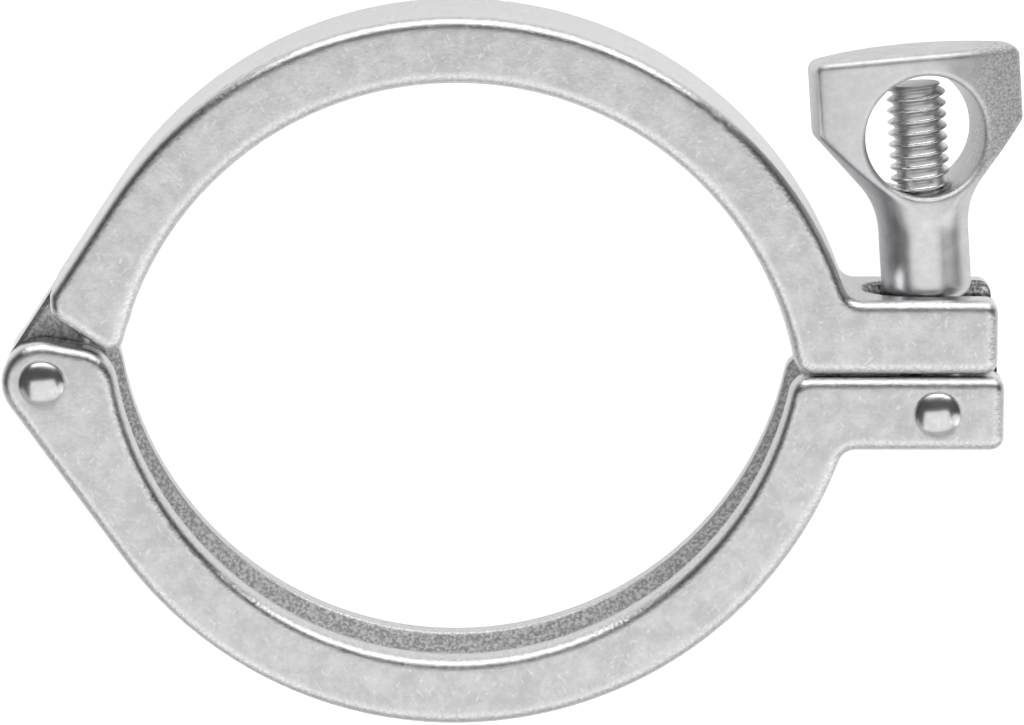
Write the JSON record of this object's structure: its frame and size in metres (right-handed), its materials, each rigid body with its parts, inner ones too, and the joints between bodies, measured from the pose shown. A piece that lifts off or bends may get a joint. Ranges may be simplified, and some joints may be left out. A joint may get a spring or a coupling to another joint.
{
  "type": "sanitary hinged clamp",
  "caption": "Hinged ring clamp with grooved halves, a swing bolt and a wing nut, which holds two flanged tube ends together.",
  "frame": {"origin": "on the surface that the clamp lies on, under the middle of its bounding box; the two halves part along Y = 0", "axes": "+Z along the ring axis, up; +X from the hinge to the swing bolt; +Y from the lower half to the upper half, which carries the wing nut"},
  "size_m": [0.1266, 0.0891, 0.0216],
  "materials": {
    "cast_steel": "tumbled satin, polished on the rounded edges",
    "pin_steel": "polished",
    "bolt_steel": "bright rolled thread",
    "nut_steel": "satin with polished rims"
  },
  "bodies": {
    "lower_body": {"lower_half": "cast_steel", "hinge_pin": "pin_steel", "bolt_pin": "pin_steel"},
    "upper_body": {"upper_half": "cast_steel"},
    "bolt_body": {"swing_bolt": "bolt_steel"},
    "nut_body": {"wing_nut": "nut_steel"}
  },
  "joints": [
    {"name": "bolt_swing", "type": "hinge", "parent": "lower_body", "child": "bolt_body", "pos_m": [0.05247, -0.0048, 0.0108], "axis": [0, 0, -1], "range_deg": [0, 180]},
    {"name": "nut_travel", "type": "slide", "parent": "bolt_body", "child": "nut_body", "axis": [-0.068, 0.9977, 0], "range_m": [0, 0.024]},
    {"name": "hinge", "type": "hinge", "parent": "lower_body", "child": "upper_body", "pos_m": [-0.05834, -0.0009, 0.0108], "axis": [0, 0, 1], "range_deg": [0, 110]}
  ],
  "couplings": [
    {"joint": "nut_travel", "follows": "bolt_swing", "m_per_rad": 0.0076394},
    {"joint": "hinge", "follows": "bolt_swing", "ratio": 0.04}
  ]
}
